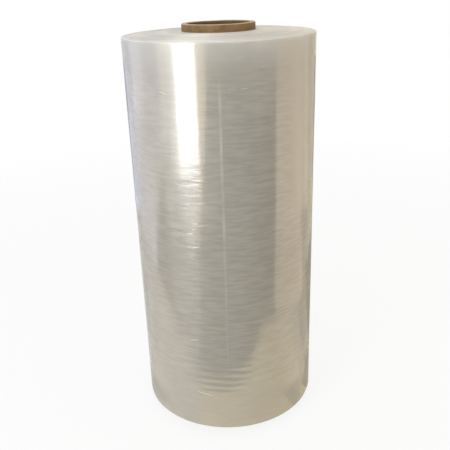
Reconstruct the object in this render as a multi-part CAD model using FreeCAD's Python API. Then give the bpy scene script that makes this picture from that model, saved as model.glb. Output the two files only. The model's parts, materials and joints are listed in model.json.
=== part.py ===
"""A roll of clear stretch wrap for wrapping pallets: one long web of film wound on a paperboard core.

Millimetres. +Z is up along the roll's axis, and the origin is on the axis at the core's lower end, on which
the roll stands. The free end of the web is at the front, towards -Y. Two separate pieces make up the object:

paperboard_core   a spiral-wound paperboard tube, a little longer than the film is wide
film_roll         the web, thousands of turns that cling together and lie as one solid
"""

import FreeCAD, Part
import math
import os

# The core
core_bore = 76.2          # slides over a three-inch mandrel
core_wall = 7.0
core_edge_break = 0.8     # the cut ends of the tube are eased by handling

# The wound film
roll_diameter = 237.0     # over the outermost turn
film_width = 500.0        # rim to rim, at the outermost turn
end_crown = 3.2           # the first turns are this much wider at each end, as the last were stretched more
core_overhang = 8.7       # core beyond the film beside it, at each end
film_on_core_gap = 0.02   # the first turn lies on the core, and this only keeps two round faces apart
rim_round = 1.6           # the film's outer corner, rounded in a few short flats
rim_flats = 3

# The turns, as they show on the two ends: bands of turns that the winder laid a little high or low
turn_band_width = 6.0
turn_band_relief = 0.7

# Gauge bands: the film is a little thicker in some lanes, and the roll's side swells there
gauge_band_width = 40.0
gauge_band_relief = 0.24

# The free end of the web, wiped down on the turn below it
tail_azimuth = -90.6      # degrees from +X, so it faces the front
tail_thickness = 0.4      # the last few turns end together, and the edge carries a fine pleat
tail_ramp = 25.0          # degrees over which the turn below rises to the full diameter

# Worked out from the sizes above
core_radius = core_bore / 2 + core_wall
roll_radius = roll_diameter / 2
first_turn_radius = core_radius + film_on_core_gap
rim_start_radius = roll_radius - rim_round
end_reach = core_overhang + end_crown
film_bottom = end_reach
film_top = film_bottom + film_width
core_length = film_width + 2 * end_reach
turn_band_count = max(2, round((rim_start_radius - first_turn_radius) / turn_band_width))
gauge_band_count = max(2, round(film_width / gauge_band_width))

GOLDEN_SHARE = 0.618034
AXIS_POINT = FreeCAD.Vector(0, 0, 0)
AXIS_UP = FreeCAD.Vector(0, 0, 1)


def uneven(index):
    """A repeatable number from 0 to 1 that never settles into a pattern."""
    return (index * GOLDEN_SHARE) % 1.0


def in_section(radius, height):
    """A point of the half section, which lies in the XZ plane."""
    return FreeCAD.Vector(radius, 0, height)


def turned(edges):
    """The solid that a closed half section sweeps round the axis."""
    section = Part.Face(Part.Wire(edges))
    return section.revolve(AXIS_POINT, AXIS_UP, 360)


def joined_up(corners):
    """The closed outline that goes straight from each corner to the next."""
    return [Part.makeLine(a, b) for a, b in zip(corners, corners[1:] + corners[:1])]


def core_section():
    """The tube's wall, with its four corners eased."""
    inner = core_bore / 2
    ease = core_edge_break
    return joined_up([
        in_section(inner + ease, 0),
        in_section(core_radius - ease, 0),
        in_section(core_radius, ease),
        in_section(core_radius, core_length - ease),
        in_section(core_radius - ease, core_length),
        in_section(inner + ease, core_length),
        in_section(inner, core_length - ease),
        in_section(inner, ease),
    ])


def end_profile(first_index):
    """One end of the film from the core out, as radius and height above the rim: a low crown, in bands."""
    profile = []
    for band in range(turn_band_count + 1):
        share = band / turn_band_count
        radius = first_turn_radius + share * (rim_start_radius - first_turn_radius)
        crown = end_crown * (1 - share ** 2)
        at_an_edge = band in (0, turn_band_count)
        relief = 0 if at_an_edge else turn_band_relief * (uneven(first_index + band) - 0.5)
        profile.append((radius, crown + relief))
    return profile


def rim_corners(rim_height, towards):
    """The inner corners of a rounded rim, from the end to the side. The film is on the side of towards."""
    centre_height = rim_height + towards * rim_round
    corners = []
    for corner in range(1, rim_flats):
        angle = math.pi / 2 * corner / rim_flats
        radius = rim_start_radius + rim_round * math.sin(angle)
        corners.append(in_section(radius, centre_height - towards * rim_round * math.cos(angle)))
    return corners


def side_corners():
    """The film's side from rim to rim, at full size there and a little slack between the gauge bands."""
    low = film_bottom + rim_round
    high = film_top - rim_round
    corners = []
    for band in range(gauge_band_count + 1):
        height = low + (high - low) * band / gauge_band_count
        at_an_edge = band in (0, gauge_band_count)
        slack = 0 if at_an_edge else gauge_band_relief * uneven(band)
        corners.append(in_section(roll_radius - slack, height))
    return corners


def film_section():
    """The half section of the wound film: two crowned ends, the side, and the bore that the core fills."""
    lower_end = [in_section(radius, film_bottom - rise) for radius, rise in end_profile(0)]
    upper_end = [in_section(radius, film_top + rise) for radius, rise in end_profile(turn_band_count)]
    lower_rim = rim_corners(film_bottom, towards=1)
    upper_rim = rim_corners(film_top, towards=-1)
    return joined_up(lower_end + lower_rim + side_corners() + upper_rim[::-1] + upper_end[::-1])


def round_from_tail(radius, turn_degrees):
    """A point in the floor plane, at that radius and turn_degrees on from the free end of the web."""
    angle = math.radians(tail_azimuth + turn_degrees)
    return FreeCAD.Vector(radius * math.cos(angle), radius * math.sin(angle), 0)


def beside_the_tail():
    """What is missing beside the free end: a crescent, as deep as the tail, that thins out along the turn."""
    clear = roll_radius + tail_thickness
    tail_foot = round_from_tail(roll_radius - tail_thickness, 0)
    tail_clear = round_from_tail(clear, 0)
    full_size = round_from_tail(roll_radius, tail_ramp)
    far_clear = round_from_tail(clear, 2 * tail_ramp)
    crescent = [
        Part.makeLine(tail_clear, tail_foot),
        Part.Arc(tail_foot, full_size, far_clear).toShape(),
        Part.Arc(far_clear, round_from_tail(clear, tail_ramp), tail_clear).toShape(),
    ]
    face = Part.Face(Part.Wire(crescent))
    return face.extrude(AXIS_UP * core_length)


def make_paperboard_core():
    return turned(core_section())


def make_film_roll():
    return turned(film_section()).cut(beside_the_tail())


def main():
    os.makedirs("parts", exist_ok=True)
    pieces = {
        "paperboard_core": make_paperboard_core(),
        "film_roll": make_film_roll(),
    }
    for name, shape in pieces.items():
        shape.exportStep(f"parts/{name}.step")
        box = shape.optimalBoundingBox()
        print(f"{name}: {len(shape.Solids)} solid, {shape.Volume / 1e6:.3f} litres, "
              f"{box.XLength:.1f} x {box.YLength:.1f} x {box.ZLength:.1f} mm, valid {shape.isValid()}")


main()
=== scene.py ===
# %% [markdown]
# A roll of clear stretch wrap, standing on the end of its paperboard core.
# The real thing is two pieces: a wound board tube, and one long web of film wound tight on it.
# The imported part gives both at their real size. This script gives them their surface: the lines that
# thousands of turns leave, the free end of the web, the plies of the board, and the gloss of the film.

import json
import math

import bpy
from mathutils import Matrix, Vector


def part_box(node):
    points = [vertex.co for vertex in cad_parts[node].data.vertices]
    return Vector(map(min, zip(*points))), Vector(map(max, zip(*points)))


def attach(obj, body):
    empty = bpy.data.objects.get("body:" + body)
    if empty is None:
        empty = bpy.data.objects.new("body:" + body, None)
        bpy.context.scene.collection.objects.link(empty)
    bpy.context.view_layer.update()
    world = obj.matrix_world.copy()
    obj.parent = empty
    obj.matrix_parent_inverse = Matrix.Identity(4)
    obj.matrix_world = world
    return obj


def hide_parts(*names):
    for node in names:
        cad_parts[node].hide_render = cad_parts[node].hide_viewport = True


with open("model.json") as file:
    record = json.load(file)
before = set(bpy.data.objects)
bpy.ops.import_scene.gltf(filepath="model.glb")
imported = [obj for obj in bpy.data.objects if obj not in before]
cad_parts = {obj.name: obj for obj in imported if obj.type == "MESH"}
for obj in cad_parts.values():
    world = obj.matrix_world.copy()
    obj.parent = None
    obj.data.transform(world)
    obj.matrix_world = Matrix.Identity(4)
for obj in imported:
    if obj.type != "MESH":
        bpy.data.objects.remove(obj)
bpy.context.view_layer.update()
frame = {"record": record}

MM = 0.001
core_low, core_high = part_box("paperboard_core")
film_low, film_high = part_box("film_roll")
core_mount = next(mount for mount in frame["record"]["mounts"] if mount["name"] == "core_bore")
bore_radius = core_mount["dims"]["r_mm"] * MM
core_radius = core_high.x
core_length = core_high.z
roll_radius = film_high.x
mid_height = core_length / 2
print(f"core {core_radius / MM:.1f} mm in radius and {core_length / MM:.1f} mm long")
print(f"film {roll_radius / MM:.1f} mm in radius")

# %% [markdown]
# The camera comes first, because all else is judged through it. Its place was fitted to the roll's outline:
# it stands in front of the roll, looks down by 22 degrees and is held slightly out of level.
# The lens needs no shift, so that the other views stay centred.

# %% Place the camera
picture_width = 450
focal_length_in_pixels = 607.1
camera_place = Vector((0, -774.9 * MM, 569.6 * MM))
camera_pitch = math.radians(21.87)
camera_roll = math.radians(-1.91)


def aim(place, pitch, roll):
    """The camera's matrix when it stands at place, faces +Y and looks down by pitch."""
    forward = Vector((0, math.cos(pitch), -math.sin(pitch)))
    right = Vector((1, 0, 0))
    up = right.cross(forward)
    picture_right = right * math.cos(roll) + up * math.sin(roll)
    picture_up = up * math.cos(roll) - right * math.sin(roll)
    turn = Matrix((picture_right, picture_up, -forward)).transposed()
    return Matrix.Translation(place) @ turn.to_4x4()


camera = bpy.data.objects.new("camera", bpy.data.cameras.new("camera"))
bpy.context.scene.collection.objects.link(camera)
camera.data.sensor_width = 36
camera.data.lens = focal_length_in_pixels / picture_width * camera.data.sensor_width
camera.matrix_world = aim(camera_place, camera_pitch, camera_roll)
bpy.context.scene.camera = camera
bpy.context.scene.view_settings.view_transform = "Standard"
print(f"lens {camera.data.lens:.1f} mm")

# %% [markdown]
# Node trees are long to write socket by socket. A Field wraps one socket and takes part in sums,
# so a formula in a tree reads as it would on paper. The same class serves shaders and geometry,
# because both kinds of tree have the same Math and Noise nodes.

# %% Arithmetic on sockets


class Field:
    """A value that flows through a node tree."""

    def __init__(self, tree, socket):
        self.tree = tree
        self.socket = socket

    def math(self, operation, *others):
        node = self.tree.nodes.new("ShaderNodeMath")
        node.operation = operation
        for place, value in enumerate((self, *others)):
            plug(value, node.inputs[place])
        return Field(self.tree, node.outputs[0])

    def __add__(self, other):
        return self.math("ADD", other)

    def __sub__(self, other):
        return self.math("SUBTRACT", other)

    def __mul__(self, other):
        return self.math("MULTIPLY", other)

    def __truediv__(self, other):
        return self.math("DIVIDE", other)

    def less_from(self, other):
        """The other number less this field."""
        return (self * -1) + other

    def between(self, low, high):
        """0 below low and 1 above high, with a soft rise between the two."""
        return self.scaled(low, high, 0, 1, "SMOOTHSTEP")

    def near(self, middle, reach):
        """1 at middle and 0 further than reach from it, with a soft slope between the two."""
        return (self - middle).math("ABSOLUTE").between(0, reach).less_from(1)

    def scaled(self, low, high, new_low, new_high, interpolation="LINEAR"):
        """The field carried from one range to another, and held at its ends."""
        node = self.tree.nodes.new("ShaderNodeMapRange")
        node.interpolation_type = interpolation
        for place, value in enumerate((self, low, high, new_low, new_high)):
            plug(value, node.inputs[place])
        return Field(self.tree, node.outputs["Result"])


def plug(value, socket):
    """Links a field to a socket, or writes a plain number there."""
    if isinstance(value, Field):
        value.tree.links.new(value.socket, socket)
    else:
        socket.default_value = value


def split(vector):
    """The three parts of a vector field."""
    node = vector.tree.nodes.new("ShaderNodeSeparateXYZ")
    plug(vector, node.inputs[0])
    return [Field(vector.tree, output) for output in node.outputs]


def joined(x, y, z):
    """A vector field from three parts, of which the first is a field."""
    node = x.tree.nodes.new("ShaderNodeCombineXYZ")
    for part, socket in zip((x, y, z), node.inputs):
        plug(part, socket)
    return Field(x.tree, node.outputs[0])


def noise(vector, detail=2.0):
    """Smooth unevenness from 0 to 1 whose lumps are one unit of the vector across."""
    node = vector.tree.nodes.new("ShaderNodeTexNoise")
    plug(vector, node.inputs["Vector"])
    node.inputs["Scale"].default_value = 1
    node.inputs["Detail"].default_value = detail
    return Field(vector.tree, node.outputs["Fac"])


usual_noise = (0.3, 0.7)        # most of a noise's values lie between these
middle_noise = (0.35, 0.65)     # and between these it goes from its dark parts to its light ones


def lumps(x, y, z, per_metre, detail=2.0):
    """Noise by its lumps per metre, level and upright. More of them upright draws it out along the turns."""
    level, upright = per_metre
    return noise(joined(x * level, y * level, z * upright), detail)


# %% [markdown]
# The stage is a plain pale floor under soft light. What the camera sees of the floor is mostly plain
# white, and the rest is shaded, so it keeps a faint shadow of the roll. Far from the roll it is white only,
# so that it runs into the white world without a horizon. The world itself lights the roll at a plain level.

# %% Lay the floor and the world
floor_half_width = 60.0
floor_colour = (0.78, 0.78, 0.77, 1)
near_glow_share = 0.87      # close to the roll, this much of the floor's look is plain white
shadow_reach = 0.35         # metres from the axis within which that holds
white_from = 1.6            # metres from the axis at which the floor is all white
ambient_strength = 0.42
showing_rays = ("Is Camera Ray", "Is Glossy Ray", "Is Transmission Ray")     # what they meet, the eye sees


def new_material(name):
    """An empty node material: its tree and its output node."""
    material = bpy.data.materials.new(name)
    material.use_nodes = True
    material.node_tree.nodes.clear()
    return material, material.node_tree.nodes.new("ShaderNodeOutputMaterial")


def object_place(tree):
    """The x, y and z of the object's own coordinates, in metres."""
    source = tree.nodes.new("ShaderNodeTexCoord")
    return split(Field(tree, source.outputs["Object"]))


def sees(tree, *kinds):
    """1 for the named kinds of ray and 0 for the others."""
    path = tree.nodes.new("ShaderNodeLightPath")
    total = Field(tree, path.outputs[kinds[0]])
    for kind in kinds[1:]:
        total = total.math("MAXIMUM", Field(tree, path.outputs[kind]))
    return total


def floor_finish():
    material, output = new_material("pale_floor")
    tree = material.node_tree
    x, y, _ = object_place(tree)
    away = (x * x + y * y).math("SQRT")
    glow_share = away.scaled(shadow_reach, white_from, near_glow_share, 1)
    shaded = tree.nodes.new("ShaderNodeBsdfDiffuse")
    shaded.inputs["Color"].default_value = floor_colour
    white = tree.nodes.new("ShaderNodeEmission")
    mixer = tree.nodes.new("ShaderNodeMixShader")
    plug(sees(tree, *showing_rays) * glow_share, mixer.inputs["Fac"])
    tree.links.new(shaded.outputs[0], mixer.inputs[1])
    tree.links.new(white.outputs[0], mixer.inputs[2])
    tree.links.new(mixer.outputs[0], output.inputs["Surface"])
    return material


def stage_piece(name, corners, polygons, material):
    """A piece of the stage, made of flat polygons."""
    mesh = bpy.data.meshes.new(name)
    mesh.from_pydata(corners, [], polygons)
    mesh.materials.append(material)
    piece = bpy.data.objects.new(name, mesh)
    bpy.context.scene.collection.objects.link(piece)
    return piece


reach = floor_half_width
floor_corners = [(-reach, -reach, 0), (reach, -reach, 0), (reach, reach, 0), (-reach, reach, 0)]
stage_piece("floor", floor_corners, [(0, 1, 2, 3)], floor_finish())

world = bpy.data.worlds.new("studio")
world.use_nodes = True
bpy.context.scene.world = world
backdrop = world.node_tree.nodes["Background"]
seen = sees(world.node_tree, *showing_rays)
plug(seen.scaled(0, 1, ambient_strength, 1), backdrop.inputs["Strength"])
backdrop.inputs["Color"].default_value = (1, 1, 1, 1)
print("stage: a floor and a white world")

# %% [markdown]
# Three soft lamps do the rest. The tall one stands at the front left, where the photo's window was:
# it is what the film mirrors as the long white streak. The wide one hangs overhead and lights the ends and
# the floor. The third is the warm side of the room, on the right. It is left out of reflections, because
# the mirrored room of the next step has a wall there.

# %% Stand the lamps
window_bearing = -39.0      # degrees from the front; the right is positive
window_distance = 1.27
window_width = 0.56
window_height = 1.5
window_glow = 5.0
overhead_height = 2.0
overhead_width = 1.2
overhead_glow = 3.6
warm_bearing = 88
warm_distance = 1.4
warm_width = 1.1
warm_glow = 1.5
warm_colour = (1.0, 0.80, 0.55)


def floor_point(bearing, distance):
    """A point on the floor by its bearing from the front, in degrees, and its distance from the axis."""
    turn = math.radians(bearing)
    return Vector((distance * math.sin(turn), -distance * math.cos(turn), 0))


def lamp(name, place, target, width, height, glow):
    """A soft rectangular lamp that faces target. Its glow is as bright as it looks, with 1 as white."""
    data = bpy.data.lights.new(name, "AREA")
    data.shape = "RECTANGLE"
    data.size = width
    data.size_y = height
    data.energy = glow * math.pi * width * height
    made = bpy.data.objects.new(name, data)
    bpy.context.scene.collection.objects.link(made)
    turn = (target - place).to_track_quat("-Z", "Y").to_matrix().to_4x4()
    made.matrix_world = Matrix.Translation(place) @ turn
    made.visible_camera = False
    return made


window_middle = Vector((0, 0, window_height / 2))
window_place = floor_point(window_bearing, window_distance) + window_middle
lamp("window_lamp", window_place, window_middle, window_width, window_height, window_glow)
overhead_place = Vector((0, 0, overhead_height))
lamp("overhead_lamp", overhead_place, Vector(), overhead_width, overhead_width, overhead_glow)
warm_middle = Vector((0, 0, warm_width / 2))
warm_place = floor_point(warm_bearing, warm_distance) + warm_middle
warm_lamp = lamp("warm_lamp", warm_place, warm_middle, warm_width, warm_width, warm_glow)
warm_lamp.data.color = warm_colour
warm_lamp.visible_glossy = False
print(f"window lamp {window_bearing} degrees round, {window_distance} m away")

# %% [markdown]
# A glossy cylinder shows the room in narrow stripes. In the photo the film mirrors a warm table top round
# its foot, a dark room beyond the table's front edge, a bright window with a pale wall beside it on the
# left, and a warm wall on the right. Each is a glowing sheet here, a painted reflection with the light and
# shade of its part of the room: a part of the floor by bearing and distance, which turns up into a wall
# where it reaches the room's end. Soft patches of light and dark keep a sheet from looking flat. The foot
# shadows and the shaded table behind the roll are the roll's own shadow on the table, painted into their
# sheets. A curtain softens the window's left edge, thin sunlit strips below the window break into glints in
# the ripples, and a skylight behind the roll gives its upper end a sheen. The sheets are seen only in
# reflections, so the floor stays pale.

# %% Build the room that the film mirrors
room_end = 4.3
wall_height = 2.6
room_height = 2 * MM        # just above the floor
table_height = 3 * MM       # just above the rest of the room
dark_side = [(-31, 0.2), (-32, 0.49), (-31, 0.7), (-27, 1.0), (-17, 2.6)]       # the dark room's left edge


def sector(start, stop, near, far):
    """The outline of the floor between two bearings and two distances."""
    return [(start, near), (start, far), (stop, far), (stop, near)]


mirrored_room = {       # the colour and outline of each sheet
    "dark_room": ((0.16, 0.16, 0.16), [
        (-27, 1.0), (-17, 2.6), (10, 2.6), (36, 2.6), (66, 2.6), (63.5, 1.0), (40, 1.0), (10, 1.0),
    ]),
    "dark_floor": ((0.08, 0.08, 0.08), [
        *dark_side[:-1], (10, 1.0), (40, 1.0), (63.5, 1.0), (61.9, 0.8), (57, 0.5), (57, 0.2),
    ]),
    "dark_room_end": ((0.2, 0.19, 0.17), [
        (-17, 2.6), (-15.5, room_end), (0, room_end), (20, room_end), (36, room_end), (36, 2.6), (10, 2.6),
    ]),
    "dark_room_corner": ((0.4, 0.38, 0.35), [
        (36, 2.6), (36, room_end), (52, room_end), (68, room_end), (66, 2.6),
    ]),
    "beside_window_right": ((1.9, 1.6, 1.2), [
        (-31, 0.7), (-31, room_end), (-15.5, room_end), *dark_side[:1:-1],
    ]),
    "window_sill": ((1.3, 1.25, 1.2), sector(-54, -31, 0.8, 1.26)),
    "floor_under_window": ((0.85, 0.82, 0.77), [
        (-53, 0.27), (-53, 0.6), (-33, 0.6), (-33, 0.2), (-45, 0.2),
    ]),
    "below_window": ((0.42, 0.41, 0.4), [
        (-66, 0.2), (-66, 0.8), (-54, 0.8), (-31, 0.8), *dark_side[2::-1],
    ]),
    "beside_window_left": ((1.6, 1.55, 1.5), sector(-54, -74, 1.7, room_end)),
    "floor_by_window": ((0.85, 0.83, 0.8), [(-54, 0.8), (-54, 1.7), (-74, 1.7), (-74, 1.2), (-66, 0.8)]),
    "left_corner": ((0.16, 0.16, 0.17), [
        (-66, 0.2), (-66, 0.8), (-74, 1.2), (-82, 1.2), (-93, 0.64), (-93, 0.2),
    ]),
    "left_wall": ((0.9, 0.87, 0.95), [
        (-82, 1.2), (-74, 1.2), (-74, room_end), (-100, room_end), (-100, 0.64), (-93, 0.64),
    ]),
    "pale_wall": ((1.3, 1.22, 1.42), sector(-100, -125, 2.3, room_end)),
    "pale_floor_left": ((0.9, 0.88, 0.96), [
        (-93, 0.2), (-93, 0.64), (-100, 0.64), (-100, 2.3), (-125, 2.3), (-125, 0.2),
    ]),
    "near_floor_left": ((0.6, 0.58, 0.6), [
        (-125, 0.2), (-125, 0.9), (-150, 0.9), (-180, 0.9), (-180, 0.2),
    ]),
    "behind_left": ((0.74, 0.77, 0.92), sector(-125, -150, 0.9, room_end)),
    "far_behind_left": ((0.4, 0.41, 0.48), [
        (-150, 0.9), (-150, room_end), (-165, room_end), (-180, room_end), (-180, 0.9),
    ]),
    "warm_wall": ((1.35, 1.12, 0.84), [
        (61.9, 0.8), (63.5, 1.0), (66, 2.6), (68, room_end), (88, room_end), (108, room_end),
        (108, 0.8), (88, 0.8),
    ]),
    "warm_floor": ((1.1, 0.9, 0.66), [(57, 0.2), (57, 0.5), (61.9, 0.8), (88, 0.8), (108, 0.8), (108, 0.2)]),
    "behind_right": ((1.05, 0.92, 0.7), sector(108, 126, 0.9, room_end)),
    "far_behind_right": ((0.68, 0.6, 0.47), [
        (126, 0.9), (126, room_end), (138, room_end), (150, room_end), (150, 0.9),
    ]),
    "near_floor_right": ((0.62, 0.56, 0.44), [(108, 0.2), (108, 0.9), (130, 0.9), (150, 0.9), (150, 0.2)]),
    "doorway_behind": ((0.4, 0.36, 0.32), [
        (150, 0.2), (150, room_end), (165, room_end), (180, room_end), (180, 0.2),
    ]),
}
wall_colours = {        # where a wall differs from the floor before it
    "dark_room_end": (0.87, 0.84, 0.77),
    "dark_room_corner": (1.15, 1.1, 1.0),
    "left_wall": (0.72, 0.76, 0.96),
    "pale_wall": (0.9, 0.95, 1.2),
    "behind_left": (0.68, 0.68, 0.76),
    "far_behind_left": (0.66, 0.66, 0.72),
    "warm_wall": (1.15, 0.98, 0.76),
    "behind_right": (1.0, 0.9, 0.7),
    "far_behind_right": (0.64, 0.58, 0.46),
    "doorway_behind": (0.74, 0.68, 0.57),
}
usual_clutter = 0.08        # how much lighter and darker than the rest the patches of a sheet are
clutter = {
    "dark_room": 0.95,
    "dark_floor": 0.95,
    "below_window": 0.35,
    "left_corner": 0.4,
    "beside_window_left": 0.15,
}
clutter_growth = 1.45       # one patch further out, the distance squared is this much larger
clutters_per_radian = 2.5
clutters_per_metre_up = 4
table_front_left = [
    (-30, 0.231), (-58, 0.35), (-70, 0.41), (-80, 0.47), (-90, 0.53), (-104, 0.64), (-115, 0.76),
]
table_front_right = [(-30, 0.231), (-5, 0.216), (20, 0.278), (38, 0.366), (59, 0.405)]
table = {
    "table_top": ((1.1, 0.9, 0.56), [*table_front_right, (59, 0.05), (0, 0.05)]),
    "table_right": ((1.15, 0.97, 0.7), [(59, 0.405), (80, 0.391), (80, 0.05), (59, 0.05)]),
    "table_far_right": ((0.9, 0.78, 0.6), [(80, 0.391), (93, 0.38), (93, 0.05), (80, 0.05)]),
    "table_left": ((0.84, 0.73, 0.65), [*table_front_left[:5], (-90, 0.05), (0, 0.05)]),
    "table_far_left": ((0.7, 0.65, 0.6), [*table_front_left[4:], (-115, 0.05), (-90, 0.05)]),
    # painted shadow: the roll's shade on the table behind it, on the left
    "table_shaded_behind_left": ((0.6, 0.58, 0.56), [
        (-115, 0.05), (-115, 0.76), (-149, 0.8), (-180, 0.6), (-180, 0.05),
    ]),
    # painted shadow: the roll's shade on the table, at the right and behind, in these two sheets
    "table_shaded_right_back": ((0.57, 0.5, 0.4), [(93, 0.05), (93, 0.38), (98, 0.37), (117, 0.5), (117, 0.05)]),
    "table_shaded_behind_right": ((0.37, 0.34, 0.28), [
        (117, 0.05), (117, 0.5), (148, 0.7), (180, 0.6), (180, 0.05),
    ]),
    "foot_shadow": ((0.75, 0.64, 0.45), [
        (50, 0.165), (80, 0.165), (88, 0.205), (93, 0.21), (93, 0.05), (50, 0.05),
    ]),
    "deep_foot_shadow": ((0.42, 0.37, 0.28), [
        (72, 0.14), (85, 0.15), (92, 0.165), (115, 0.17), (115, 0.05), (72, 0.05),
    ]),
    "left_foot_shadow": ((0.55, 0.52, 0.46), [
        (-55, 0.145), (-85, 0.148), (-115, 0.15), (-115, 0.05), (-55, 0.05),
    ]),
}
sunlit_strips = [(0.97, 1.0), (0.86, 0.885), (0.75, 0.775)]     # where each starts and ends, in metres
sunlit_left = -46
sunlit_right = -34
sunlit_colour = (4.8, 4.65, 4.4)
sunlit_height = room_height + 0.5 * MM
curtain_distance = 1.3
curtain = {         # the window's light falls off to the left of it
    "curtain_inner": ((2.7, 2.65, 2.6), (-51.6, -56)),
    "curtain_outer": ((2.1, 2.05, 2.0), (-56, -61)),
}
skylight_corners = [(-155, 1.3), (-175, 1.3), (-175, 2.4), (-155, 2.4)]
skylight_height = 2.4
skylight_colour = (12, 11.7, 11.2)


def mirror_only(name, colour, corners, polygons):
    """A glowing piece of the stage that shows only in reflections, with light and dark patches."""
    material, output = new_material(name)
    tree = material.node_tree
    x, y, z = object_place(tree)
    ring = (x * x + y * y).math("LOGARITHM", clutter_growth)
    turn = x.math("ARCTAN2", y * -1)
    lots = joined(ring, turn * clutters_per_radian, z * clutters_per_metre_up)
    patches = noise(lots, detail=1.0)
    amount = clutter.get(name, usual_clutter)
    glow = tree.nodes.new("ShaderNodeEmission")
    glow.inputs["Color"].default_value = (*colour, 1)
    plug(patches.scaled(*middle_noise, 1 - amount, 1 + amount), glow.inputs["Strength"])
    tree.links.new(glow.outputs[0], output.inputs["Surface"])
    piece = stage_piece(name, corners, polygons, material)
    for kind in ("camera", "diffuse", "shadow", "transmission"):
        setattr(piece, "visible_" + kind, False)


def part_of_room(name, colour, outline, height):
    """A sheet over an outline of bearings and distances, and a wall where it reaches the room's end."""
    foot = [floor_point(*corner) + Vector((0, 0, height)) for corner in outline]
    mirror_only(name, colour, foot, [tuple(range(len(foot)))])
    at_end = [point for point, corner in zip(foot, outline) if corner[1] == room_end]
    if at_end:
        top = [point + Vector((0, 0, wall_height)) for point in at_end]
        count = len(at_end)
        panels = [(place, place + 1, count + place + 1, count + place) for place in range(count - 1)]
        mirror_only(name + "_wall", wall_colours.get(name, colour), at_end + top, panels)


for name, (colour, outline) in mirrored_room.items():
    part_of_room(name, colour, outline, room_height)
for step, (name, (colour, outline)) in enumerate(table.items()):
    part_of_room(name, colour, outline, table_height + step * MM)
for near, far in sunlit_strips:
    part_of_room("sunlit_strip", sunlit_colour, sector(sunlit_left, sunlit_right, near, far), sunlit_height)
for name, (colour, bearings) in curtain.items():
    foot = [floor_point(bearing, curtain_distance) for bearing in bearings]
    top = [corner + Vector((0, 0, window_height)) for corner in foot]
    mirror_only(name, colour, foot + top[::-1], [(0, 1, 2, 3)])
skylight = [floor_point(*corner) + Vector((0, 0, skylight_height)) for corner in skylight_corners]
mirror_only("skylight", skylight_colour, skylight, [(0, 1, 2, 3)])
print(f"{len(mirrored_room) + len(table)} parts of a room for the film to mirror, and a skylight")

# %% [markdown]
# A wound roll is a turned shape: one section, carried round the axis. The section is drawn here as a list
# of radius and height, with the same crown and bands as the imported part, in rows one to two millimetres
# apart. The rows are close because the finest ripples of the film need a few of them each.

# %% Draw the film's section
film_width = 500 * MM
end_crown = 3.2 * MM
rim_round = 1.6 * MM
turn_band_width = 6.0 * MM
turn_band_relief = 0.7 * MM
gauge_band_width = 40.0 * MM
gauge_band_relief = 0.24 * MM
inside_the_box = 0.03 * MM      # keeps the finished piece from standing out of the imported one
end_row_step = 1.8 * MM
side_row_step = 1.1 * MM
rim_rows = 5
golden_share = 0.618034

film_bottom = mid_height - film_width / 2
film_top = mid_height + film_width / 2
skin_radius = roll_radius - inside_the_box
rim_start = skin_radius - rim_round
turn_band_count = round((rim_start - core_radius) / turn_band_width)
gauge_band_count = round(film_width / gauge_band_width)


def uneven(index):
    """A repeatable number from 0 to 1 that never settles into a pattern."""
    return (index * golden_share) % 1.0


def along(values, share):
    """The value at a share of the way along a list of evenly spaced ones."""
    place = min(share, 1.0) * (len(values) - 1)
    before = min(int(place), len(values) - 2)
    return values[before] + (values[before + 1] - values[before]) * (place - before)


def steps(low, high, size):
    """Evenly spaced values from low to high, about size apart."""
    count = max(1, round((high - low) / size))
    return [low + (high - low) * step / count for step in range(count + 1)]


def end_rows(first_index):
    """One end of the film from the core out, as radius and rise above the rim."""
    inner_edges = range(first_index + 1, first_index + turn_band_count)
    relief = [0, *(turn_band_relief * (uneven(index) - 0.5) for index in inner_edges), 0]
    rows = []
    for radius in steps(core_radius, rim_start, end_row_step):
        share = (radius - core_radius) / (rim_start - core_radius)
        rows.append((radius, end_crown * (1 - share ** 2) + along(relief, share)))
    return rows


def rim_arc_rows(rim_height, towards):
    """The round between an end and the side."""
    rows = []
    for row in range(1, rim_rows):
        angle = math.pi / 2 * row / rim_rows
        height = rim_height + towards * rim_round * (1 - math.cos(angle))
        rows.append((rim_start + rim_round * math.sin(angle), height))
    return rows


def side_rows():
    """The side from the lower rim to the upper one."""
    slack = [0, *(gauge_band_relief * uneven(band) for band in range(1, gauge_band_count)), 0]
    low = film_bottom + rim_round
    high = film_top - rim_round
    heights = steps(low, high, side_row_step)
    return [(skin_radius - along(slack, (z - low) / (high - low)), z) for z in heights]


lower_end = [(radius, film_bottom - rise) for radius, rise in end_rows(0)]
upper_end = [(radius, film_top + rise) for radius, rise in end_rows(turn_band_count)]
lower_rim = rim_arc_rows(film_bottom, 1)
upper_rim = rim_arc_rows(film_top, -1)
film_section = lower_end + lower_rim + side_rows() + upper_rim[::-1] + upper_end[::-1] + lower_end[:1]
print(f"film section: {len(film_section)} rows")

# %% [markdown]
# Geometry Nodes carry the section round. A grid has one row of points for each point of the section and
# one column for each step round the axis, and each of its points is moved to its place on the roll.
# The columns crowd towards the free end of the web, where the edge needs them, and open out at the back.
# Then each point sinks a little along its own normal, by a noise that is long round the roll and
# short across it. That gives the ripples, which run right over the rim and on as rings on the ends. They are
# deepest at two heights, where the web ran slack, and near the foot a few turns lie in even waves. The free
# end is pressed flat towards the rims, so its edge fades out there.

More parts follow.
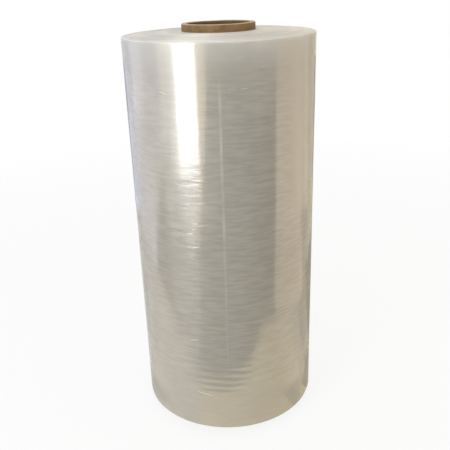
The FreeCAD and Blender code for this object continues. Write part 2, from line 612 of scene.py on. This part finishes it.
# %% Build the tree that winds the film
end_calm = 0.3              # the ends carry this much of the side's ripple
end_slope = 0.45            # a face that looks up or down by more than this belongs to an end
tail_full = 120 * MM        # this far from mid height the free end stands full proud
tail_pressed = 165 * MM     # and from here to the rims it is pressed down
tail_left = 0.1             # to this share
always_slack = 0.25         # the web was slacker at two heights, and this much of the ripple shows elsewhere
slack_low = 100 * MM
slack_low_reach = 50 * MM
slack_high = 310 * MM
slack_high_reach = 130 * MM
wave_height = 92 * MM       # here the web ran slack for some turns and lies in even waves
wave_reach = 45 * MM
wave_step = 9.5 * MM
wave_drift_per_metre = 8
wave_front = (0.1, 0.8)     # the waves grow between these shares of the radius, towards the front
wave_behind = 0.25          # and this much of them shows at the back
merge_distance = 0.02 * MM


def new_tree(name, **inputs):
    """A geometry tree and its named inputs, which are listed by their kind of socket."""
    tree = bpy.data.node_groups.new(name, "GeometryNodeTree")
    for kind, labels in inputs.items():
        for label in labels:
            tree.interface.new_socket(label, in_out="INPUT", socket_type="NodeSocket" + kind)
    tree.interface.new_socket("Geometry", in_out="OUTPUT", socket_type="NodeSocketGeometry")
    source = tree.nodes.new("NodeGroupInput")
    return tree, {output.name: Field(tree, output) for output in source.outputs if output.name}


def step_node(geometry, kind, **sockets):
    """One node that changes geometry. Keyword names are socket names, with _ for a space."""
    node = geometry.tree.nodes.new(kind)
    plug(geometry, node.inputs[0])
    for label, value in sockets.items():
        plug(value, node.inputs[label.replace("_", " ")])
    return Field(geometry.tree, node.outputs[0])


def read_field(tree, kind):
    """A field that the geometry itself supplies, such as its index, position or normal."""
    return Field(tree, tree.nodes.new(kind).outputs[0])


def turned_grid(section, columns, crowding):
    """A flat grid to bend, and the radius, height and turn of each of its points on the roll."""
    tree = section.tree
    size = tree.nodes.new("GeometryNodeAttributeDomainSize")
    plug(section, size.inputs[0])
    rows = Field(tree, size.outputs["Point Count"])
    grid = tree.nodes.new("GeometryNodeMeshGrid")
    plug(columns + 1, grid.inputs["Vertices X"])
    plug(rows, grid.inputs["Vertices Y"])
    index = read_field(tree, "GeometryNodeInputIndex")
    share = (index / rows).math("FLOOR") / columns
    angle = share * math.tau - (share * math.tau).math("SINE") * crowding
    sample = tree.nodes.new("GeometryNodeSampleIndex")
    sample.data_type = "FLOAT_VECTOR"
    plug(section, sample.inputs["Geometry"])
    plug(read_field(tree, "GeometryNodeInputPosition"), sample.inputs["Value"])
    plug(index.math("MODULO", rows), sample.inputs["Index"])
    radius, _, height = split(Field(tree, sample.outputs[0]))
    return Field(tree, grid.outputs["Mesh"]), radius, height, angle


def film_tree():
    tree, given = new_tree(
        "wind_the_film",
        Geometry=["Section"],
        Int=["Columns"],
        Float=[
            "Crowding", "Roll radius", "Mid height", "Tail angle", "Tail step", "Tail width", "Tail ramp",
            "Ripple width", "Ripple length", "Ripple depth", "Wave depth",
        ],
        Material=["Side finish", "End finish"],
    )
    grid, radius, height, turn = turned_grid(given["Section"], given["Columns"], given["Crowding"])
    past_tail = (turn * radius).between(0, given["Tail width"]) * turn.math("LESS_THAN", given["Tail ramp"])
    on_skin = (given["Roll radius"] - radius).math("LESS_THAN", rim_round)
    pressed = (height - given["Mid height"]).math("ABSOLUTE").scaled(tail_full, tail_pressed, 1, tail_left)
    drop = given["Tail step"] * (turn / given["Tail ramp"]).less_from(1) * past_tail * on_skin * pressed
    around = turn + given["Tail angle"]
    out = radius - drop
    place = joined(out * around.math("COSINE"), out * around.math("SINE"), height)
    wound = step_node(grid, "GeometryNodeSetPosition", Position=place)
    closed = step_node(wound, "GeometryNodeMergeByDistance", Distance=merge_distance)

    x, y, z = split(read_field(tree, "GeometryNodeInputPosition"))
    inwards = given["Roll radius"] - (x * x + y * y).math("SQRT")
    across = z + (z - given["Mid height"]).math("SIGN") * inwards
    lanes = joined(x / given["Ripple length"], y / given["Ripple length"], across / given["Ripple width"])
    calmer = inwards.scaled(rim_round, 3 * rim_round, 1, end_calm)
    slack_web = z.near(slack_low, slack_low_reach) + z.near(slack_high, slack_high_reach) + always_slack
    ripple = noise(lanes, detail=1.0) * given["Ripple depth"] * calmer * slack_web
    drift = lumps(x, y, z, (wave_drift_per_metre, wave_drift_per_metre), detail=1.0)
    wave = ((z / wave_step + drift) * math.tau).math("SINE") * 0.5 + 0.5
    in_front = (y * -1 / given["Roll radius"]).between(*wave_front)
    wave_share = in_front * (1 - wave_behind) + wave_behind
    depth = ripple + wave * given["Wave depth"] * z.near(wave_height, wave_reach) * wave_share
    normal = tree.nodes.new("ShaderNodeVectorMath")
    normal.operation = "SCALE"
    plug(read_field(tree, "GeometryNodeInputNormal"), normal.inputs[0])
    plug(depth * -1, normal.inputs["Scale"])
    rippled = step_node(closed, "GeometryNodeSetPosition", Offset=Field(tree, normal.outputs[0]))
    smooth = step_node(rippled, "GeometryNodeSetShadeSmooth")
    real = step_node(smooth, "GeometryNodeRealizeInstances")
    sided = step_node(real, "GeometryNodeSetMaterial", Material=given["Side finish"])
    _, _, upward = split(read_field(tree, "GeometryNodeInputNormal"))
    on_end = upward.math("ABSOLUTE").math("GREATER_THAN", end_slope)
    finished = step_node(sided, "GeometryNodeSetMaterial", Selection=on_end, Material=given["End finish"])
    output = tree.nodes.new("NodeGroupOutput")
    plug(finished, output.inputs["Geometry"])
    return tree


print("the film's tree is described")

# %% [markdown]
# What a tree makes is turned into a plain mesh straight away. The start mesh carries the section as loose
# points.

# %% Run a tree on a section


def section_mesh(name, rows):
    """Loose points, one for each radius and height."""
    mesh = bpy.data.meshes.new(name)
    mesh.from_pydata([(radius, 0, height) for radius, height in rows], [], [])
    return mesh


def made_by(tree, name, start_mesh, settings):
    """A plain mesh object from a tree, its start mesh and its named inputs."""
    rough = bpy.data.objects.new(name + "_rough", start_mesh)
    bpy.context.scene.collection.objects.link(rough)
    modifier = rough.modifiers.new("build", "NODES")
    modifier.node_group = tree
    for item in tree.interface.items_tree:
        if item.name in settings:
            modifier[item.identifier] = settings[item.name]
    depsgraph = bpy.context.evaluated_depsgraph_get()
    mesh = bpy.data.meshes.new_from_object(rough.evaluated_get(depsgraph))
    mesh.name = name
    bpy.data.objects.remove(rough)
    piece = bpy.data.objects.new(name, mesh)
    bpy.context.scene.collection.objects.link(piece)
    mesh.calc_loop_triangles()
    print(f"{name}: {len(mesh.loop_triangles)} triangles")
    return piece


# %% [markdown]
# Stretch film is clear, but thousands of turns with a breath of air between them look milky and
# a little warm, like frosted glass. Each layer also mirrors a little, so the roll is glossier than
# one sheet of plastic: a high index on the base and a clear coat on top stand for that. Light creeps
# some way through the turns, so the film also scatters under its skin. Near the rims it is painted paler,
# partly as the film's own look where the turns lie looser there, and partly as painted light for the light
# that creeps in through the ends, most of it through the upper one.
# The lines run along the turns, so the pattern is stretched round the roll and fine across it.

# %% Mix the film's finish on its side
film_milky = (0.372, 0.352, 0.302)
# paler near the rims: partly the film's own look, partly painted light that creeps in through the ends
film_rim_pale_and_lit = (0.445, 0.43, 0.385)
# the free edge's pale line: partly the cut edge's own look, partly a painted highlight on its step
free_edge_pale_and_highlight = (0.47, 0.455, 0.41)
rim_glow_width = 38 * MM
lower_rim_glow = 0.2            # the lower rim glows this much of what the upper one does
streak_contrast = 0.075
streak_noise = (0.32, 0.68)
fine_line_share = 0.12
streak_foot = (50 * MM, 110 * MM)       # the streaks grow over this height above the lower rim
streak_head = (30 * MM, 80 * MM)        # and fade over this height below the upper one
streaks_at_ends = 0.4                   # to this share
calm_from = (0.6, 0.72)         # to the right of this share of the radius
calm_heights = (0.26, 0.36)     # and above this height, the side has no streaks
side_roughness = (0.16, 0.22)
side_relief = 0.16 * MM
side_gloss = {"IOR": 1.9, "Coat Weight": 1.0, "Coat Roughness": 0.07}
free_edge_width = 2.6 * MM
free_edge_sharp = 0.2                   # this share of the width is full strength
free_edge_foot = (90 * MM, 135 * MM)    # the line begins between these heights
free_edge_head = (440 * MM, 480 * MM)   # and ends between these
free_edge_growth = (140 * MM, 300 * MM)     # up to here it grows from faint to clear
free_edge_faint = 0.35
skin_depth = 3 * MM
tail_azimuth = math.radians(-90.6)


def cylinder_place(tree):
    """Object coordinates of the roll: x, y, z, how far in from the skin, and the way across the turns."""
    x, y, z = object_place(tree)
    inwards = (x * x + y * y).math("SQRT").less_from(roll_radius)
    across = z + (z - mid_height).math("SIGN") * inwards
    return x, y, z, inwards, across


def mixed(first, second, share):
    """A colour between two, each of which is a plain colour or a field."""
    node = share.tree.nodes.new("ShaderNodeMix")
    node.data_type = "RGBA"
    for value, place in ((share, 0), (first, 6), (second, 7)):
        plug((*value, 1) if isinstance(value, tuple) else value, node.inputs[place])
    return Field(share.tree, node.outputs[2])


def shaded(colour, amount):
    """The same colour, brighter or darker by that factor."""
    return tuple(part * amount for part in colour)


def film_shader(material, output, colour, roughness, height, relief, gloss):
    """The scatter and bump that all of the film shares, and the gloss that differs."""
    tree = material.node_tree
    shader = tree.nodes.new("ShaderNodeBsdfPrincipled")
    plug(colour, shader.inputs["Base Color"])
    plug(roughness, shader.inputs["Roughness"])
    shader.inputs["Coat IOR"].default_value = 1.5
    shader.inputs["Subsurface Weight"].default_value = 0.5
    shader.inputs["Subsurface Scale"].default_value = 20 * MM
    shader.inputs["Subsurface Radius"].default_value = (1.0, 0.95, 0.85)
    for socket, value in gloss.items():
        shader.inputs[socket].default_value = value
    bump = tree.nodes.new("ShaderNodeBump")
    bump.inputs["Distance"].default_value = relief
    plug(height, bump.inputs["Height"])
    for socket in ("Normal", "Coat Normal"):
        tree.links.new(bump.outputs[0], shader.inputs[socket])
    tree.links.new(shader.outputs[0], output.inputs["Surface"])
    return shader


def free_edge_highlight_share(x, y, z, inwards):
    """1 on the line where the web ends, with its pale look and painted highlight, fading out before the
    rims.
    """
    beside = (x * -math.sin(tail_azimuth) + y * math.cos(tail_azimuth)).math("ABSOLUTE")
    on_line = beside.between(free_edge_sharp * free_edge_width, free_edge_width).less_from(1)
    in_front = (x * math.cos(tail_azimuth) + y * math.sin(tail_azimuth)).math("GREATER_THAN", 0)
    clear_of_rims = z.between(*free_edge_foot) * z.between(*free_edge_head).less_from(1)
    fading = z.scaled(*free_edge_growth, free_edge_faint, 1)
    broken = lumps(x, y, z, per_metre=(3, 40)).scaled(*usual_noise, free_edge_faint, 1)
    return on_line * in_front * clear_of_rims * fading * broken * inwards.math("LESS_THAN", skin_depth)


def film_side_finish():
    material, output = new_material("stretch_film_side")
    tree = material.node_tree
    x, y, z, inwards, across = cylinder_place(tree)
    fine = lumps(x, y, across, per_metre=(60, 800))
    lanes = lumps(x, y, across, per_metre=(50, 180))
    from_top = z.less_from(film_top)
    from_bottom = z - film_bottom
    clear_of_ends = from_bottom.between(*streak_foot) * from_top.between(*streak_head)
    calm_side = (x / roll_radius).between(*calm_from) * z.between(*calm_heights)
    streakiness = (clear_of_ends * (1 - streaks_at_ends) + streaks_at_ends) * calm_side.less_from(1)
    threads = lumps(x, y, across, per_metre=(42, 290))
    streaks = (threads.between(*streak_noise) - 0.5) * streakiness + 0.5
    body = mixed(shaded(film_milky, 1 - streak_contrast), shaded(film_milky, 1 + streak_contrast), streaks)
    # painted light near the rims, in full at the upper rim and a little at the lower, partly the film's own
    # paleness
    upper_glow = from_top.between(0, rim_glow_width).less_from(1)
    rimmed = mixed(body, film_rim_pale_and_lit, upper_glow + from_bottom.scaled(0, rim_glow_width, lower_rim_glow, 0))
    # the free edge is painted pale: partly its own look, partly a painted highlight
    colour = mixed(rimmed, free_edge_pale_and_highlight, free_edge_highlight_share(x, y, z, inwards))
    roughness = lanes.scaled(*usual_noise, *side_roughness)
    film_shader(material, output, colour, roughness, fine * fine_line_share + lanes, side_relief, side_gloss)
    return material


side_finish = film_side_finish()
print("the side's finish is mixed")

# %% [markdown]
# The ends are the cut edges of all the turns side by side. They are paler than the side, partly as cut film
# edges are and partly as painted light for the light from above that an end catches, and satin, not glossy,
# with fine rings. The rings work like the grooves of a turned metal disc: they spread a reflection across
# them, so that it fans out from the core. The shader's anisotropy does that, along a tangent that points
# away from the axis, and there is no clear coat to hide it.

# %% Mix the film's finish on its ends
# the ends are paler, partly as cut edges are and partly as painted light from above
film_end_pale_and_lit = (0.5, 0.475, 0.41)
film_end_outer = (0.49, 0.475, 0.425)
end_ring_shades = (0.86, 1.1)
fine_ring_share = 0.3
outer_ring = (8 * MM, 20 * MM)      # how far in from the skin the outer ring fades out
outer_ring_wander = 10 * MM
end_roughness = (0.36, 0.44)
end_relief = 0.3 * MM
end_gloss = {"IOR": 1.5, "Coat Weight": 0.0, "Anisotropic": 0.85}


def film_end_finish():
    material, output = new_material("stretch_film_ends")
    tree = material.node_tree
    x, y, _, inwards, _ = cylinder_place(tree)
    rings = lumps(x, y, inwards, per_metre=(5, 900), detail=3.0)
    bands = lumps(x, y, inwards, per_metre=(4, 120))
    broad = lumps(x, y, inwards, per_metre=(4, 45))
    pattern = (rings * fine_ring_share + broad * (1 - fine_ring_share)).between(*middle_noise)
    dark, light = (shaded(film_end_pale_and_lit, shade) for shade in end_ring_shades)
    outer = (inwards + bands * outer_ring_wander).between(*outer_ring).less_from(1)
    colour = mixed(mixed(dark, light, pattern), film_end_outer, outer)
    roughness = bands.scaled(*usual_noise, *end_roughness)
    shader = film_shader(material, output, colour, roughness, rings + bands, end_relief, end_gloss)
    plug(joined(x, y, 0), shader.inputs["Tangent"])
    return material


end_finish = film_end_finish()
print("the ends' finish is mixed")

# %% [markdown]
# The two finishes and the section meet in the tree. The columns crowd towards the free end of the web, so
# that its step can be two millimetres wide, and the turn below it rises back to full size over 25 degrees.

# %% Wind the film
tail_step = 0.4 * MM
tail_width = 2.2 * MM
tail_ramp = math.radians(25)

wound_film = made_by(film_tree(), "wound_film", section_mesh("film_section", film_section), {
    "Columns": 168,
    "Crowding": 0.85,
    "Roll radius": skin_radius,
    "Mid height": mid_height,
    "Tail angle": tail_azimuth,
    "Tail step": tail_step,
    "Tail width": tail_width,
    "Tail ramp": tail_ramp,
    "Ripple width": 6.5 * MM,
    "Ripple length": 28 * MM,
    "Ripple depth": 0.22 * MM,
    "Wave depth": 0.26 * MM,
    "Side finish": side_finish,
    "End finish": end_finish,
})
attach(wound_film, "root")
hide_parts("film_roll")

# %% [markdown]
# Film that is wound under tension keeps a few sharp pleats, where the web ran askew for a moment and folded
# on itself. They are short and lie nearly along the turns, and their pale colour is a painted highlight for
# the light they catch. Each is a thin spindle here, most of which lies under the skin. A tree draws all that
# are of one strength from a list of where each starts and ends, and the curve's own scale makes them swell
# at the middle and taper to the tips.

# %% Press the pleats into the film
sharp_pleats = [        # bearing from the front in degrees and height in millimetres, at both ends of each
    ((-23.4, 67.2), (-10.0, 63.2)), ((-36.0, 459.8), (-29.3, 455.5)), ((-23.0, 275.7), (-14.0, 277.5)),
    ((-25.2, 144.6), (-18.7, 147.2)), ((128.0, 402.0), (139.0, 399.5)), ((163.0, 121.0), (172.0, 119.0)),
]
# short folds painted pale as glints of the window's streak
short_pleats = [        # below the window's streak, where they catch it
    ((-25.0, 361.7), (-15.6, 363.1)), ((-24.6, 355.8), (-18.2, 356.8)), ((-22.2, 350.4), (-13.8, 350.1)),
    ((-16.4, 372.5), (-12.0, 372.9)), ((-23.2, 330.4), (-18.8, 331.3)), ((-24.6, 325.1), (-19.6, 326.2)),
    ((-19.4, 306.2), (-15.2, 306.8)), ((-20.2, 298.4), (-16.0, 299.1)), ((-22.8, 292.7), (-18.6, 293.5)),
]
faint_pleats = [
    ((-44.3, 462.6), (-36.5, 460.2)), ((3.0, 461.4), (9.6, 462.1)), ((9.8, 461.5), (15.0, 462.0)),
    ((-62.8, 473.0), (-56.3, 459.0)), ((-64.3, 501.0), (-58.2, 498.0)), ((-141.0, 233.0), (-128.0, 236.5)),
    ((86.0, 318.0), (93.0, 317.0)), ((12.0, 171.0), (55.0, 175.5)), ((28.0, 176.8), (49.0, 178.4)),
    ((33.5, 167.8), (47.0, 169.6)),
]
pleat_radius = 0.7 * MM
pleat_rise = 0.02 * MM      # how far the ridge of a pleat stands out of the skin at its middle
pleat_dip = 0.12 * MM       # how far its ends lie below that
# the pleats' pale colours are painted highlights for the light they catch
sharp_pleat_glint_pale = (0.9, 0.88, 0.84)
short_pleat_glint_pale = (0.86, 0.84, 0.8)
faint_pleat_glint_pale = (0.62, 0.605, 0.565)
pleat_points = 30
pleat_sides = 8
pleat_tip = 0.02            # the width of a pleat's tips, as a share of its middle's
fold_shade = 0.85
pleat_roughness = (0.12, 0.2)
pleat_relief = 0.01 * MM
pleat_gloss = {"IOR": 1.9, "Coat Weight": 1.0, "Coat Roughness": 0.1}


def pleats_tree():
    tree, given = new_tree(
        "press_the_pleats",
        Geometry=["Pleats"],
        Int=["Points", "Sides"],
        Float=["Radius", "Skin radius", "Rise", "Dip"],
        Material=["Film"],
    )
    lines = step_node(given["Pleats"], "GeometryNodeMeshToCurve")
    dotted = step_node(lines, "GeometryNodeResampleCurve", Count=given["Points"])
    bearing, _, height = split(read_field(tree, "GeometryNodeInputPosition"))
    along_pleat = read_field(tree, "GeometryNodeSplineParameter")
    swell = (along_pleat * math.pi).math("SINE")
    crest = given["Skin radius"] + given["Rise"] - given["Dip"] * swell.less_from(1)
    middle = crest - given["Radius"] * swell
    place = joined(middle * bearing.math("SINE"), middle * bearing.math("COSINE") * -1, height)
    bent = step_node(dotted, "GeometryNodeSetPosition", Position=place)
    profile = tree.nodes.new("GeometryNodeCurvePrimitiveCircle")
    plug(given["Sides"], profile.inputs["Resolution"])
    plug(given["Radius"], profile.inputs["Radius"])
    sweep = tree.nodes.new("GeometryNodeCurveToMesh")
    plug(bent, sweep.inputs["Curve"])
    plug(Field(tree, profile.outputs["Curve"]), sweep.inputs["Profile Curve"])
    plug(swell.math("MAXIMUM", pleat_tip), sweep.inputs["Scale"])
    sweep.inputs["Fill Caps"].default_value = True
    smooth = step_node(Field(tree, sweep.outputs[0]), "GeometryNodeSetShadeSmooth")
    real = step_node(smooth, "GeometryNodeRealizeInstances")
    finished = step_node(real, "GeometryNodeSetMaterial", Material=given["Film"])
    plug(finished, tree.nodes.new("NodeGroupOutput").inputs["Geometry"])
    return tree


# a pleat's pale colour is a painted highlight, with folds of random tone in it
def pleat_highlight_finish(name, pale):
    material, output = new_material(name)
    x, y, z = object_place(material.node_tree)
    folds = lumps(x, y, z, per_metre=(200, 900))
    colour = mixed(shaded(pale, fold_shade), pale, folds.between(*middle_noise))
    roughness = folds.scaled(*usual_noise, *pleat_roughness)
    film_shader(material, output, colour, roughness, folds, pleat_relief, pleat_gloss)
    return material


def press_pleats(name, pleats, pale):
    """All the pleats of one strength as one piece."""
    ends = [(math.radians(bearing), 0, height * MM) for pleat in pleats for bearing, height in pleat]
    lines = bpy.data.meshes.new(name + "_lines")
    lines.from_pydata(ends, [(2 * pleat, 2 * pleat + 1) for pleat in range(len(pleats))], [])
    pressed = made_by(pleats_tree(), name, lines, {
        "Points": pleat_points,
        "Sides": pleat_sides,
        "Radius": pleat_radius,
        "Skin radius": skin_radius,
        "Rise": pleat_rise,
        "Dip": pleat_dip,
        "Film": pleat_highlight_finish(name + "_finish", pale),
    })
    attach(pressed, "root")


press_pleats("sharp_pleats", sharp_pleats, sharp_pleat_glint_pale)
press_pleats("short_pleats", short_pleats, short_pleat_glint_pale)
press_pleats("faint_pleats", faint_pleats, faint_pleat_glint_pale)

# %% [markdown]
# The core is a spiral tube: strips of kraft board wound at a slant over a mandrel, glued ply on ply. What
# tells it from a plain pipe is the slanting seam on its skin and in its bore, the plies that show on the cut
# end, and an end that handling has softened. Its section is a closed loop: up the outside, in over the top,
# down the bore and out under the bottom, with rows every 2.4 millimetres so that the seam stays smooth.

# %% Draw the core's section
core_edge_round = 1.0 * MM
edge_rows = 4
ply_width = 0.6 * MM
ply_relief = 0.07 * MM
wall_row_step = 2.4 * MM


def quarter_round(middle_radius, middle_height, start):
    """Rows round an eased corner, from the start angle on by a quarter turn."""
    rows = []
    for row in range(edge_rows + 1):
        angle = start + math.pi / 2 * row / edge_rows
        radius = middle_radius + core_edge_round * math.cos(angle)
        rows.append((radius, middle_height + core_edge_round * math.sin(angle)))
    return rows


def ply_rows(inner, outer, height, towards):
    """Rows across a cut end, from the outside in: each ply a little higher or lower than the next."""
    radii = steps(inner, outer, ply_width / 2)[1:-1]
    return [(radius, height + towards * ply_relief * (row % 2)) for row, radius in enumerate(radii[::-1])]


outer_middle = core_radius - core_edge_round
inner_middle = bore_radius + core_edge_round
low_middle = core_edge_round
high_middle = core_length - core_edge_round
wall_heights = steps(low_middle, high_middle, wall_row_step)[1:-1]
core_section = [
    *quarter_round(outer_middle, low_middle, -math.pi / 2),
    *((core_radius, height) for height in wall_heights),
    *quarter_round(outer_middle, high_middle, 0),
    *ply_rows(inner_middle, outer_middle, core_length, -1),
    *quarter_round(inner_middle, high_middle, math.pi / 2),
    *((bore_radius, height) for height in wall_heights[::-1]),
    *quarter_round(inner_middle, low_middle, math.pi),
    *ply_rows(inner_middle, outer_middle, 0, 1)[::-1],
]
core_section.append(core_section[0])
print(f"core section: {len(core_section)} rows")

# %% [markdown]
# The same grid is carried round again, but each row is turned a little further than the one below it, by
# one full turn in each lead of the spiral. The grid's own seam column then runs along the slant of the
# board's seam, and a narrow groove follows it. Last, the ends sag by a noise that is slow round the tube, as
# worn board does.

# %% Wind the board tube
seam_lead = 125 * MM
seam_half_width = 0.7 * MM
seam_depth = 0.3 * MM
wear_depth = 0.3 * MM
wear_reach = 6 * MM
dents_round = 1.6           # how closely the dents follow each other round the tube
dents_apart = 3             # keeps the dents of one end from those of the other
dent_noise = (0.35, 0.8)
core_columns = 132
core_crowding = 0.8


def core_tree():
    tree, given = new_tree(
        "wind_the_board_tube",
        Geometry=["Section"],
        Int=["Columns"],
        Float=["Crowding", "Lead", "Seam half width", "Seam depth", "Wear depth"],
        Material=["Board"],
    )
    grid, radius, height, turn = turned_grid(given["Section"], given["Columns"], given["Crowding"])
    from_seam = turn.math("MINIMUM", turn.less_from(math.tau)) * radius
    groove = from_seam.between(0, given["Seam half width"]).less_from(1) * given["Seam depth"]
    outside = (radius - (core_radius - core_edge_round / 2)).math("GREATER_THAN", 0)
    inside = (radius - (bore_radius + core_edge_round / 2)).math("LESS_THAN", 0)
    walled = radius + groove * (inside - outside)
    from_end = (height - mid_height).math("ABSOLUTE").less_from(mid_height)
    around = turn + height / given["Lead"] * math.tau
    sine = around.math("SINE")
    cosine = around.math("COSINE")
    side = (height - mid_height).math("SIGN")
    dents = lumps(cosine, sine, side, (dents_round, dents_apart)).between(*dent_noise)
    sag = dents * given["Wear depth"] * from_end.between(0, wear_reach).less_from(1)
    place = joined(walled * cosine, walled * sine, height - side * sag)
    wound = step_node(grid, "GeometryNodeSetPosition", Position=place)
    closed = step_node(wound, "GeometryNodeMergeByDistance", Distance=merge_distance)
    smooth = step_node(closed, "GeometryNodeSetShadeSmooth")
    real = step_node(smooth, "GeometryNodeRealizeInstances")
    finished = step_node(real, "GeometryNodeSetMaterial", Material=given["Board"])
    plug(finished, tree.nodes.new("NodeGroupOutput").inputs["Geometry"])
    return tree


print("the core's tree is described")

# %% [markdown]
# Kraft board is brown paper pulp: short fibres that lie any way, cloudy patches, and dark specks. The cut
# end shows its plies as rings and is paler where it is rubbed, and the bore carries painted shade from a few
# millimetres inside each end.

# %% Mix the board's finish
board_dark = (0.155, 0.088, 0.03)
board_light = (0.285, 0.172, 0.068)
board_rubbed = (0.47, 0.34, 0.2)
# painted shade inside the bore
bore_painted_shade = (0.12, 0.07, 0.027)
fibre_share = 0.45
speck_noise = (0.66, 0.74)      # only the peaks of the noise are specks
speck_strength = 0.6
speck_shade = 0.6
ring_shade = 0.72
rubbed_share = (0.65, 1)
end_reach = (0.2 * MM, 0.9 * MM)        # how far from the cut the end's look gives way to the skin's
# where the bore's painted shade lies: how far from its surface, how far in from each end, and how strong
bore_shade_reach = (0.1 * MM, 1.2 * MM)       # and how far from the bore its own does
bore_shade_start = 3 * MM
bore_shade_strength = 0.8
board_roughness = (0.7, 0.86)
board_relief = 0.12 * MM


def board_finish():
    material, output = new_material("kraft_board")
    tree = material.node_tree
    x, y, z = object_place(tree)
    radius = (x * x + y * y).math("SQRT")
    fibre = lumps(x, y, z, per_metre=(700, 350), detail=3.0)
    cloud = lumps(x, y, z, per_metre=(70, 70), detail=3.0)
    speck = lumps(x, y, z, per_metre=(1600, 1600), detail=1.0).between(*speck_noise)
    plies = lumps(x, y, radius, per_metre=(12, 1100))
    pulp = (fibre * fibre_share + cloud * (1 - fibre_share)).between(*usual_noise)
    body = mixed(board_dark, board_light, pulp)
    speckled = mixed(body, shaded(board_dark, speck_shade), speck * speck_strength)
    from_end = (z - mid_height).math("ABSOLUTE").less_from(mid_height)
    on_end = from_end.between(*end_reach).less_from(1)
    ringed = mixed(shaded(board_rubbed, ring_shade), board_rubbed, plies.between(*middle_noise))
    ended = mixed(speckled, ringed, on_end * cloud.scaled(*usual_noise, *rubbed_share))
    # painted shade in the bore, from a few millimetres in from each end
    in_shaded_bore = radius.between(bore_radius + bore_shade_reach[0], bore_radius + bore_shade_reach[1]).less_from(1)
    colour = mixed(ended, bore_painted_shade, in_shaded_bore * from_end.between(0, bore_shade_start) * bore_shade_strength)
    shader = tree.nodes.new("ShaderNodeBsdfPrincipled")
    plug(colour, shader.inputs["Base Color"])
    plug(fibre.scaled(*usual_noise, *board_roughness), shader.inputs["Roughness"])
    bump = tree.nodes.new("ShaderNodeBump")
    bump.inputs["Distance"].default_value = board_relief
    plug(fibre + plies * on_end, bump.inputs["Height"])
    tree.links.new(bump.outputs[0], shader.inputs["Normal"])
    tree.links.new(shader.outputs[0], output.inputs["Surface"])
    return material


wound_core = made_by(core_tree(), "wound_core", section_mesh("core_section", core_section), {
    "Columns": core_columns,
    "Crowding": core_crowding,
    "Lead": seam_lead,
    "Seam half width": seam_half_width,
    "Seam depth": seam_depth,
    "Wear depth": wear_depth,
    "Board": board_finish(),
})
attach(wound_core, "root")
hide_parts("paperboard_core")

# %% End
print("the roll and its core are built")
